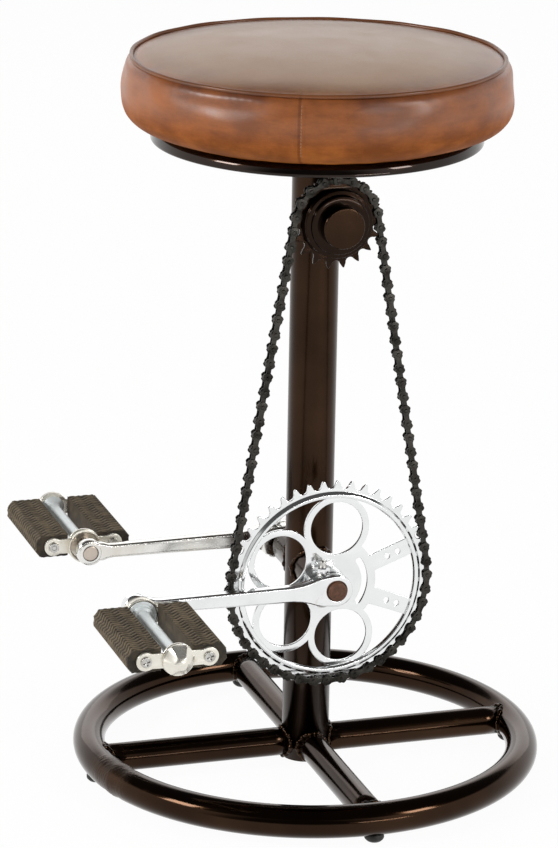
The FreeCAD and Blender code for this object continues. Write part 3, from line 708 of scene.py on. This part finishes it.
crank_length, head, root, tip, eye_size = 0.178, 0.0142, 0.0068, 0.0056, 0.0116
crank_front = 0.080
crank_line = arc(0, 0, head, -100, 100, 24)
crank_line += [(-0.012, head * 0.93), (-0.018, head * 0.84), (-0.024, head * 0.68), (-0.031, root * 1.16),
               (-0.039, root)]
crank_line += [(-crank_length + 0.022, tip * 1.02), (-crank_length + 0.0165, tip * 1.12),
               (-crank_length + 0.012, tip * 1.4)]
crank_line += arc(-crank_length, 0, eye_size, 42, 318, 34)
crank_line += [(x, -z) for x, z in reversed(crank_line[25:33])]
eye_hole = arc(-crank_length, 0, 0.0072, 360, 10, 35)
spindle_hole = arc(0, 0, 0.0083, 360, 10, 35)
head_line = arc(0, 0, head, -100, 100, 24)
head_line += [(-0.014, head * 0.9), (-0.021, head * 0.72), (-0.024, 0), (-0.021, -head * 0.72), (-0.014, -head * 0.9)]


def flipped(piece, sign):
    """The far side's pieces are the near one's, seen in a mirror."""
    if sign > 0:
        for vertex in piece.data.vertices:
            vertex.co.y = -vertex.co.y
        piece.data.flip_normals()
    sharp(piece, 32)
    return piece


def crank_piece(name, side):
    face = plate("arm", [crank_line, eye_hole, spindle_hole], 0.0702, crank_front, 0.0016, (0, spindle_z))
    hub = plate("hub", [head_line, spindle_hole], 0.0574, 0.0712, 0.001, (0, spindle_z))
    rim = softened([(0.0072, 0.0692), (0.0098, 0.0692), (0.0098, 0.0806), (0.0072, 0.0806)], 0.0006)
    collar = lathe("eye", rim, 48, (-crank_length, 0, spindle_z), "y")
    return flipped(joined(name, face, hub, collar), side)


near_crank = crank_piece("near_crank_arm", -1)
dress(near_crank, chrome, "stool", "chrome", "near_crank")
far_crank = crank_piece("far_crank_arm", 1)
# The far crank gets a darker, browner copy of the near crank's chrome: painted shade and a painted brown reflection on
# the crank behind the chainring.
far_crank_shaded_chrome = chrome_finish("far_crank_shaded_chrome", (0.84, 0.83, 0.8, 1), (0.62, 0.57, 0.49, 1), 0.15,
                               (0.42, 0.31, 0.2, 1))
dress(far_crank, far_crank_shaded_chrome, "stool", "chrome", "far_crank")
spindle_profile = softened([(0, -0.083), (0.00825, -0.083), (0.00825, 0.083), (0, 0.083)], 0.0009)
spindle = lathe("spindle", spindle_profile, 48, (0, 0, spindle_z), "y")
spindle_paint, shader, place = new_finish("spindle_paint", {"IOR": 1.4})
worn = noise(place, 240.0, 5.0, 0.65)
feed(shader, {"Base Color": worn.between(0.35, 0.7).mix((0.075, 0.03, 0.014, 1), (0.15, 0.062, 0.032, 1)),
              "Roughness": 0.35 + worn * 0.25, "Normal": bump(worn, 0.15, 0.0003)})
dress(spindle, spindle_paint, "stool", "brown_paint", "crank_spindle")


def nut(name, width, low, high, place, bore):
    """A hexagon nut along Z with rounded corners top and bottom."""
    corner = width / math.sqrt(3)
    points = []
    rows = ((bore, low), (width * 0.47, low), (corner, low + width * 0.08), (corner, high - width * 0.08),
            (width * 0.47, high), (bore, high))
    for k, (radius, z) in enumerate(rows):
        for t in turning(48):
            flat = width / 2 / math.cos((t + math.pi / 6) % (math.pi / 3) - math.pi / 6)
            size = min(radius, flat) if 0 < k < 5 else radius
            points.append((place[0] + size * math.cos(t), place[1] + size * math.sin(t), place[2] + z))
    piece = shape(name, points, skin(len(rows), 48))
    sharp(piece, 25)
    return piece


cotter_x, cotter_depths, nut_seat = -0.01, (-0.06865, 0.06865), 0.1992
cotter_nuts = joined("cotter_hex_nuts", *(nut("nut", 0.011, 0.0, 0.0055, (cotter_x, y, nut_seat), 0.0031)
                                          for y in cotter_depths))
sharp(cotter_nuts, 25)
dress(cotter_nuts, chrome, "stool", "chrome", "cotter_nuts")
pin_profile = [(0, 0.169), (0.0042, 0.169), (0.0047, 0.1705), (0.0047, 0.1985), (0.0031, nut_seat)]
for i in range(8):
    pin_profile += [(0.0031, 0.2 + i * 0.00125), (0.0027, 0.2006 + i * 0.00125)]
pin_profile += [(0.0026, 0.2098), (0, 0.21)]
cotters = joined("cotters", *(lathe("pin", pin_profile, 28, (cotter_x, y, 0)) for y in cotter_depths))
dress(cotters, bright_steel, "stool", "chrome", "cotter_pins")


# Chainring: blanked from steel plate, its disc pressed proud of the toothed rim, chrome plated.
# Round openings alternate with small windows; two drilled bars cross the opening on the right.
pitch = 0.0127
ring_teeth, cog_teeth = 44, 18
roller_size = 0.003875
wheel_back, wheel_front = 0.0547, 0.0573


def polar(radius, angle):
    """A point at a radius and an angle in degrees from +X towards +Z."""
    return radius * math.cos(math.radians(angle)), radius * math.sin(math.radians(angle))


def pitch_circle(teeth):
    return pitch / (2 * math.sin(math.pi / teeth))


def tooth_line(teeth, way_up, rise, tip_half):
    circle = pitch_circle(teeth)
    step = 2 * math.pi / teeth
    seat, crest = roller_size + 0.00008, circle + rise
    line = []
    for i in range(teeth):
        middle = way_up * math.pi / 2 + i * step
        for bend in (-80, -56, -28, 0, 28, 56, 80):
            t = middle + math.pi - math.radians(bend)
            line.append((circle * math.cos(middle) + seat * math.cos(t),
                         circle * math.sin(middle) + seat * math.sin(t)))
        tooth = middle + step / 2
        for shift, drop in ((-tip_half, 0.0006), (-tip_half * 0.5, 0.0), (tip_half * 0.5, 0.0), (tip_half, 0.0006)):
            t = tooth + shift / crest
            line.append(((crest - drop) * math.cos(t), (crest - drop) * math.sin(t)))
    return line


hole_circle, hole_size, web_size, rim_inner, hub_disc = 0.0495, 0.0235, 0.0292, 0.0765, 0.042
hole_turns = (83.0, 153.0, 218.0, 283.0)


def meeting(radius):
    """Half angle at which a circle about the hub crosses the round web of an opening."""
    return math.degrees(math.acos((radius ** 2 + hole_circle ** 2 - web_size ** 2) / (2 * radius * hole_circle)))


def web_arc(turn, from_turn, to_turn, from_radius, to_radius, steps=12):
    """Along the web's round edge between two points given by angle and radius from the hub."""
    cx, cz = polar(hole_circle, turn)
    ends = []
    for angle, radius in ((from_turn, from_radius), (to_turn, to_radius)):
        x, z = polar(radius, angle)
        ends.append(math.degrees(math.atan2(z - cz, x - cx)))
    sweep = (ends[1] - ends[0] + 180) % 360 - 180
    return arc(cx, cz, web_size, ends[0], ends[0] + sweep, steps)


ring_openings = [arc(0, 0, 0.0112, 360, 10, 35)]
for turn in hole_turns:
    ring_openings.append(arc(*polar(hole_circle, turn), hole_size, 360, 6, 59))
for first, second in zip(hole_turns, hole_turns[1:]):
    low, high = first + meeting(rim_inner), second - meeting(rim_inner)
    half = math.radians(second - first) / 2
    crossing = hole_circle * math.cos(half) + math.sqrt(web_size ** 2 - (hole_circle * math.sin(half)) ** 2)
    middle = (first + second) / 2
    line = arc(0, 0, rim_inner, low, high, 14)
    line += web_arc(second, high, middle, rim_inner, crossing)[1:]
    line += web_arc(first, middle, low, crossing, rim_inner)[1:-1]
    ring_openings.append(line)
bar_turn, bar_half = 21.0, 0.0075


def bar_edge(radius):
    return math.degrees(math.asin(bar_half / radius))


line = arc(0, 0, rim_inner, -bar_turn + bar_edge(rim_inner), bar_turn - bar_edge(rim_inner), 10)
line += arc(0, 0, hub_disc, bar_turn - bar_edge(hub_disc), -bar_turn + bar_edge(hub_disc), 8)
ring_openings.append(line)
for turn, sign in ((hole_turns[0], 1), (hole_turns[-1] - 360, -1)):
    outer_end, inner_end = turn - sign * meeting(rim_inner), turn - sign * meeting(hub_disc)
    line = arc(0, 0, rim_inner, sign * (bar_turn + bar_edge(rim_inner)), outer_end, 12)
    line += web_arc(turn, outer_end, inner_end, rim_inner, hub_disc)[1:]
    line += arc(0, 0, hub_disc, inner_end, sign * (bar_turn + bar_edge(hub_disc)), 6)[1:]
    ring_openings.append(line)
for turn in (bar_turn, -bar_turn):
    for radius in (0.056, 0.066):
        ring_openings.append(arc(*polar(radius, turn), 0.0026, 360, 15, 23))
slot_turn, slot_circle, slot_half = 34, 0.032, 0.00275
slot = arc(0, 0, 0.03475, -slot_turn, slot_turn, 18)
slot += arc(*polar(slot_circle, slot_turn), slot_half, 34, 214, 8)[1:]
slot += arc(0, 0, 0.02925, slot_turn, -slot_turn, 18)[1:]
slot += arc(*polar(slot_circle, -slot_turn), slot_half, 146, 326, 8)[1:-1]
ring_openings.append(slot)
ring_plate = plate("ring_plate", [tooth_line(ring_teeth, -1, 0.0029, 0.0013)] + ring_openings, wheel_back, wheel_front,
                   0.0004, (0, spindle_z))
ridge_profile = softened([(0.0766, 0.0572), (0.0773, 0.0594), (0.078, 0.0597), (0.0801, 0.0597), (0.0824, 0.0574),
                          (0.083, 0.0572)], 0.0007, 4)
ridge = lathe("ridge", ridge_profile, 220, (0, 0, spindle_z), "y")
chainring = joined("chainring_plate", ring_plate, ridge)
sharp(chainring, 30)
dress(chainring, chrome, "stool", "chrome", "chainring")


# Sprocket: a small toothed wheel on a stepped steel body, slid over the stub and lacquered with it
# nearly black. The stub's closed end stands proud of it.
sprocket_black = lacquer_finish("sprocket_lacquer", (0.009, 0.0042, 0.002, 1), (0.021, 0.0098, 0.0048, 1), 0.16,
                                clear=0.15)
cog = plate("sprocket_wheel", [tooth_line(cog_teeth, 1, 0.0034, 0.0008), arc(0, 0, 0.0288, 360, 6, 59)],
            wheel_back, wheel_front, 0.0004, (0, sprocket_z))
dress(cog, sprocket_black, "stool", "black_paint", "sprocket")
body_profile = softened([(0.0181, 0.0475), (0.0295, 0.0475), (0.0295, 0.0605), (0.0283, 0.0612), (0.0283, 0.0622),
                         (0.0293, 0.063), (0.0293, 0.0645), (0.0255, 0.0648), (0.0252, 0.0682), (0.0215, 0.0686),
                         (0.0181, 0.0686)], 0.0007)
wheel_body = lathe("sprocket_turned_body", body_profile, 96, (0, 0, sprocket_z), "y")
sharp(wheel_body, 40)
dress(wheel_body, sprocket_black, "stool", "black_paint", "sprocket_body")


# Chain: half-inch roller chain of darkened steel, inner and outer links by turns, with riveted pins.
# It lies in the seats of both wheels and runs straight between them.
def link_line(size, waist):
    """A link plate's outline, round at both ends and drawn in between."""
    half = pitch / 2
    line = arc(half, 0, size, -68, 68, 12)
    line += [(half * 0.3, waist * 1.03), (0, waist), (-half * 0.3, waist * 1.03)]
    line += arc(-half, 0, size, 112, 248, 12)
    line += [(-half * 0.3, -waist * 1.03), (0, -waist), (half * 0.3, -waist * 1.03)]
    return line


half = pitch / 2
inner_pieces = [plate("side", [link_line(0.0045, 0.002)], near, far, 0.00022)
                for near, far in ((-0.00275, -0.00168), (0.00168, 0.00275))]
roller_profile = softened([(0.0019, -0.0016), (roller_size, -0.0016), (roller_size, 0.0016), (0.0019, 0.0016)],
                          0.0004, 2)
inner_pieces += [lathe("roller", roller_profile, 20, (x, 0, 0), "y") for x in (-half, half)]
inner_link = gathered(inner_pieces)
outer_pieces = [plate("side", [link_line(0.0047, 0.0021)], near, far, 0.00024)
                for near, far in ((-0.00385, -0.00277), (0.00277, 0.00385))]
rivet = [(0, -0.0047), (0.0013, -0.0046), (0.0019, -0.0041), (0.0019, 0.0041), (0.0013, 0.0046), (0, 0.0047)]
outer_pieces += [lathe("rivet", rivet, 16, (x, 0, 0), "y") for x in (-half, half)]
outer_link = gathered(outer_pieces)

ring_seats, cog_seats, run_links = 12, 4, 25
chain_depth = 0.056


def wrap(teeth, seats, middle, height):
    """Roller places round a wheel, counted both ways from the middle of the wrap."""
    turns = [middle + i * 2 * math.pi / teeth for i in range(-seats, seats + 1)]
    return [(pitch_circle(teeth) * math.cos(t), height + pitch_circle(teeth) * math.sin(t)) for t in turns]


lower = wrap(ring_teeth, ring_seats, -math.pi / 2, spindle_z)
upper = wrap(cog_teeth, cog_seats, math.pi / 2, sprocket_z)


def run(start, end):
    return [tuple(a + (b - a) * i / run_links for a, b in zip(start, end)) for i in range(run_links + 1)]


chain_steel, shader, place = new_finish("chain_steel", {"Metallic": 1.0})
grime = noise(place, 90.0, 5.0, 0.65)
speck = noise(place, 700.0, 3.0)
feed(shader, {"Base Color": grime.between(0.35, 0.72).mix((0.06, 0.056, 0.049, 1), (0.015, 0.0135, 0.0115, 1)),
              "Roughness": 0.24 + grime * 0.25, "Normal": bump(speck, 0.12, 0.0003)})
link_number = 0
for name, rollers, node in (("chain_round_ring", lower, "chain_lower_wrap"),
                            ("chain_right", run(lower[-1], upper[0]), "chain_right_run"),
                            ("chain_over_sprocket", upper, "chain_upper_wrap"),
                            ("chain_left", run(upper[-1], lower[0]), "chain_left_run")):
    points, faces = [], []
    for (x0, z0), (x1, z1) in zip(rollers, rollers[1:]):
        link_points, link_faces = inner_link if link_number % 2 else outer_link
        link_number += 1
        lean = math.atan2(z1 - z0, x1 - x0)
        x, y, z = np.array(link_points).T
        start = sum(len(block) for block in points)
        points.append(np.stack([(x0 + x1) / 2 + x * math.cos(lean) - z * math.sin(lean), y - chain_depth,
                                (z0 + z1) / 2 + x * math.sin(lean) + z * math.cos(lean)], axis=1))
        faces += [tuple(start + i for i in f) for f in link_faces]
    stretch = shape(name, np.concatenate(points), faces)
    sharp(stretch, 35)
    dress(stretch, chain_steel, "stool", "chain_steel", node)


# Pedals: a plated barrel on a steel axle between two pressed cross plates. Two moulded rubber blocks,
# ribbed in a zigzag, are held on rods whose ends are screwed at the plates; a dust cap closes the end.
pedal_x, pedal_z = -crank_length, spindle_z
crank_side, cup_start, cup_end, block_end, plate_end = 0.081, 0.0885, 0.0965, 0.2025, 0.2049
rod_offset = 0.027
block_inside, block_half = 0.0132, 0.01
pedal_spot = (pedal_x, 0, pedal_z)
pedal_plate = chrome_finish("pedal_plating", (0.84, 0.81, 0.73, 1), (0.7, 0.66, 0.57, 1), 0.24, (0.5, 0.4, 0.24, 1),
                            0.85)
zinc = chrome_finish("barrel_zinc", (0.76, 0.81, 0.81, 1), (0.62, 0.67, 0.67, 1), 0.38, (0.52, 0.5, 0.44, 1), 0.2)
rubber, shader, place = new_finish("block_rubber", {"IOR": 1.45})
dusty = noise(place, 110.0, 5.0, 0.65)
fleck = noise(place, 1100.0, 3.0)
# crest is 1 on the rib tops and 0 in the grooves: the rib tops are lighter for wear, the grooves near black as painted
# shade.
crest = Wire(place.node("ShaderNodeAttribute", {"attribute_name": "crest"}).socket.node.outputs["Fac"])
low = dusty.between(0.35, 0.7).mix((0.018, 0.0135, 0.008, 1), (0.052, 0.039, 0.023, 1))
high = dusty.between(0.3, 0.7).mix((0.09, 0.067, 0.04, 1), (0.19, 0.145, 0.09, 1))
feed(shader, {"Base Color": crest.mix(low, high), "Roughness": 0.6 + dusty * 0.25,
              "Normal": bump(fleck * 0.6 + dusty, 0.25, 0.0004)})


def wave(value):
    """A triangle wave between 0 and 1 with period 1."""
    return np.abs((value % 1.0) * 2 - 1)


def rubber_block(name, side, sign):
    """A block's outline carried along the axle, with zigzag ribs raised on all but its inner side and ends.
    Each point carries a crest value that lightens the worn rib tops and darkens the grooves with painted shade.
    """
    corners = [(block_inside, -block_half), (0.038, -block_half), (0.0426, -0.004), (0.0426, 0.004),
               (0.038, block_half), (block_inside, block_half)]
    line, normals, ribbed = [], [], []
    for (x0, z0), (x1, z1) in zip(corners, corners[1:] + corners[:1]):
        count = max(4, round(math.hypot(x1 - x0, z1 - z0) / 0.0009))
        out = Vector((z1 - z0, -(x1 - x0))).normalized()
        for i in range(count):
            t = i / count
            line.append((x0 + (x1 - x0) * t, z0 + (z1 - z0) * t))
            normals.append(out)
            ribbed.append(0.0 if x1 == x0 == block_inside else 1.0)
    count = len(line)
    eased = [(normals[i - 1] + normals[i]).normalized() for i in range(count)]
    length = np.cumsum([0.0] + [math.hypot(line[i][0] - line[i - 1][0], line[i][1] - line[i - 1][1])
                                for i in range(1, count)])
    zig = wave(length / 0.0125) * 0.0058
    rows = np.linspace(0.0968, 0.2022, 176)
    points, rib_wear_and_groove_shade = [], []
    for y in rows:
        rib = np.clip((wave((y + zig) / 0.0056) - 0.36) * 3.2, 0, 1)
        edge = min(1.0, min(y - rows[0], rows[-1] - y) / 0.0014)
        for i, ((x, z), out) in enumerate(zip(line, eased)):
            lift = (0.0009 * rib[i] - 0.0007) * ribbed[i] * edge - 0.0007 * (1 - edge)
            points.append((pedal_x + side * (x + out.x * lift), sign * y, pedal_z + z + out.y * lift))
            # 1 on a rib top, 0 in a groove and towards the block's ends, 0.35 on the smooth inner side: wear on the
            # tops, painted shade in the grooves.
            rib_wear_and_groove_shade.append(rib[i] * ribbed[i] * edge + 0.35 * (1 - ribbed[i]))
    faces = skin(len(rows), count)
    faces.append(tuple(range(count)))
    faces.append(tuple((len(rows) - 1) * count + i for i in range(count))[::-1])
    if side * sign > 0:
        faces = [f[::-1] for f in faces]
    piece = shape(name, points, faces)
    piece.data.attributes.new("crest", "FLOAT", "POINT").data.foreach_set("value", rib_wear_and_groove_shade)
    sharp(piece, 50)
    return piece


def ear_line(boss, ear, strap):
    """Outline of a cross plate: a round boss, two round ears, and a waisted strap between them."""
    swell = math.degrees(math.asin(strap / boss))
    neck = (rod_offset - 0.0055, strap * 0.98)
    line = arc(rod_offset, 0, ear, -100, 100, 18) + [neck]
    line += arc(0, 0, boss, swell, 180 - swell, 20) + [(-neck[0], neck[1])]
    line += arc(-rod_offset, 0, ear, 80, 280, 18) + [(-neck[0], -neck[1])]
    line += arc(0, 0, boss, 180 + swell, 360 - swell, 20) + [(neck[0], -neck[1])]
    return line


def cap_piece(name):
    """A dust cap: a round foot, six flats for a spanner drawn in towards the end, and a rounded tip."""
    rows = ((0.0112, 0.0, 0), (0.0133, 0.0002, 0), (0.0137, 0.0012, 0), (0.0135, 0.0024, 0), (0.0128, 0.0032, 1),
            (0.0064, 0.0118, 1), (0.0045, 0.013, 0), (0.0024, 0.0136, 0), (0.0, 0.0138, 0))
    points = []
    for radius, far, flats in rows:
        for t in turning(60):
            squared = math.cos(math.pi / 6) / math.cos((t % (math.pi / 3)) - math.pi / 6)
            size = radius * (squared * 1.06 if flats else 1.0)
            points.append((pedal_x + size * math.cos(t), -plate_end - far, pedal_z + size * math.sin(t)))
    return shape(name, points, skin(len(rows), 60))


cross = []
for quarter in range(4):
    turn = math.radians(90 * quarter + 20)
    for across, out in ((-0.0006, 0.003), (0.0006, 0.003), (0.0006, 0.0006)):
        cross.append((out * math.cos(turn) - across * math.sin(turn), out * math.sin(turn) + across * math.cos(turn)))
for word, sign in (("near", -1), ("far", 1)):
    body = word + "_pedal"
    for label, side in (("left", -1), ("right", 1)):
        block = rubber_block(word + "_block_" + label, side, sign)
        dress(block, rubber, body, "rubber", word + "_pedal_block_" + label)
    barrel_profile = softened([(0.0051, cup_end + 0.0001), (0.0127, cup_end + 0.0001), (0.0127, cup_end + 0.0013),
                               (0.0092, cup_end + 0.0016), (0.0088, cup_end + 0.0052), (0.006, cup_end + 0.0062),
                               (0.0056, cup_end + 0.012), (0.0055, block_end - 0.009), (0.0064, block_end - 0.0045),
                               (0.0105, block_end - 0.0012), (0.0105, block_end - 0.0001),
                               (0.0063, block_end), (0.0063, plate_end), (0.0051, plate_end)], 0.0007)
    barrel = flipped(lathe(word + "_barrel", barrel_profile, 56, pedal_spot, "y"), sign)
    dress(barrel, zinc, body, "pedal_chrome", word + "_pedal_barrel")
    holes = [arc(side * rod_offset, 0, 0.0026, 360, 15, 23) for side in (-1, 1)]
    strap = plate("strap", [ear_line(0.0149, 0.0082, 0.0068), arc(0, 0, 0.0124, 360, 8, 44)] + holes,
                  cup_end - 0.0024, cup_end, 0.0005, (pedal_x, pedal_z))
    cup_profile = softened([(0.0058, cup_end), (0.0141, cup_end), (0.0141, cup_start + 0.001), (0.0147, cup_start),
                            (0.0131, cup_start), (0.0124, cup_start + 0.0012), (0.0124, cup_end - 0.0017),
                            (0.0058, cup_end - 0.0017)], 0.0006)
    inner = flipped(joined(word + "_inner_plate", strap, lathe("cup", cup_profile, 56, pedal_spot, "y")), sign)
    dress(inner, pedal_plate, body, "pedal_chrome", word + "_pedal_inner_plate")
    outer = plate(word + "_outer_plate", [ear_line(0.0139, 0.0081, 0.0067), arc(0, 0, 0.0067, 360, 8, 44)] + holes,
                  block_end, plate_end, 0.0006, (pedal_x, pedal_z))
    dress(flipped(outer, sign), pedal_plate, body, "pedal_chrome", word + "_pedal_outer_plate")
    rods = []
    for side in (-1, 1):
        spot = (pedal_x + side * rod_offset, 0, pedal_z)
        rods.append(plate("head", [arc(0, 0, 0.0046, 360, 10, 35), cross], plate_end + 0.0001, plate_end + 0.0019,
                          0.0004, (spot[0], spot[2])))
        recess = [(0.0, plate_end + 0.0006), (0.0036, plate_end + 0.0006), (0.0036, plate_end - 0.0004)]
        rods.append(lathe("seat", recess, 24, spot, "y"))
        tail = [(0.0, cup_end - 0.0049), (0.0018, cup_end - 0.0049), (0.0024, cup_end - 0.0043),
                (0.0024, plate_end - 0.0002)]
        rods.append(lathe("tail", tail, 20, spot, "y"))
        back = nut("nut", 0.0085, 0, 0.0022, (0, 0, 0), 0.0023)
        for vertex in back.data.vertices:
            x, y, z = vertex.co
            vertex.co = (spot[0] + x, -(cup_end - 0.0025 - z), spot[2] + y)
        rods.append(back)
    rods = flipped(joined(word + "_rods", *rods), sign)
    dress(rods, bright_steel, body, "bright_steel", word + "_pedal_rods")
    cap = flipped(cap_piece(word + "_dust_cap"), sign)
    dress(cap, pedal_plate, body, "pedal_chrome", word + "_pedal_dust_cap")
axle_profile = softened([(0.0, 0.0692), (0.0062, 0.0692), (0.0071, 0.0698), (0.0071, crank_side),
                         (0.009, crank_side + 0.0001), (0.009, crank_side + 0.005), (0.005, cup_end - 0.0021),
                         (0.005, 0.2112), (0.0, 0.2114)], 0.0005)
axles = joined("axles", *(flipped(lathe("axle", axle_profile, 40, pedal_spot, "y"), sign) for sign in (-1, 1)))
sharp(axles, 32)
axle_steel = chrome_finish("axle_steel", (0.62, 0.54, 0.47, 1), (0.42, 0.33, 0.26, 1), 0.28, (0.26, 0.16, 0.1, 1))
dress(axles, axle_steel, "stool", "bright_steel", "pedal_axles")
axle_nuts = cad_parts["pedal_axle_nuts"]
axle_nuts.data.materials.clear()
axle_nuts.data.materials.append(bright_steel)
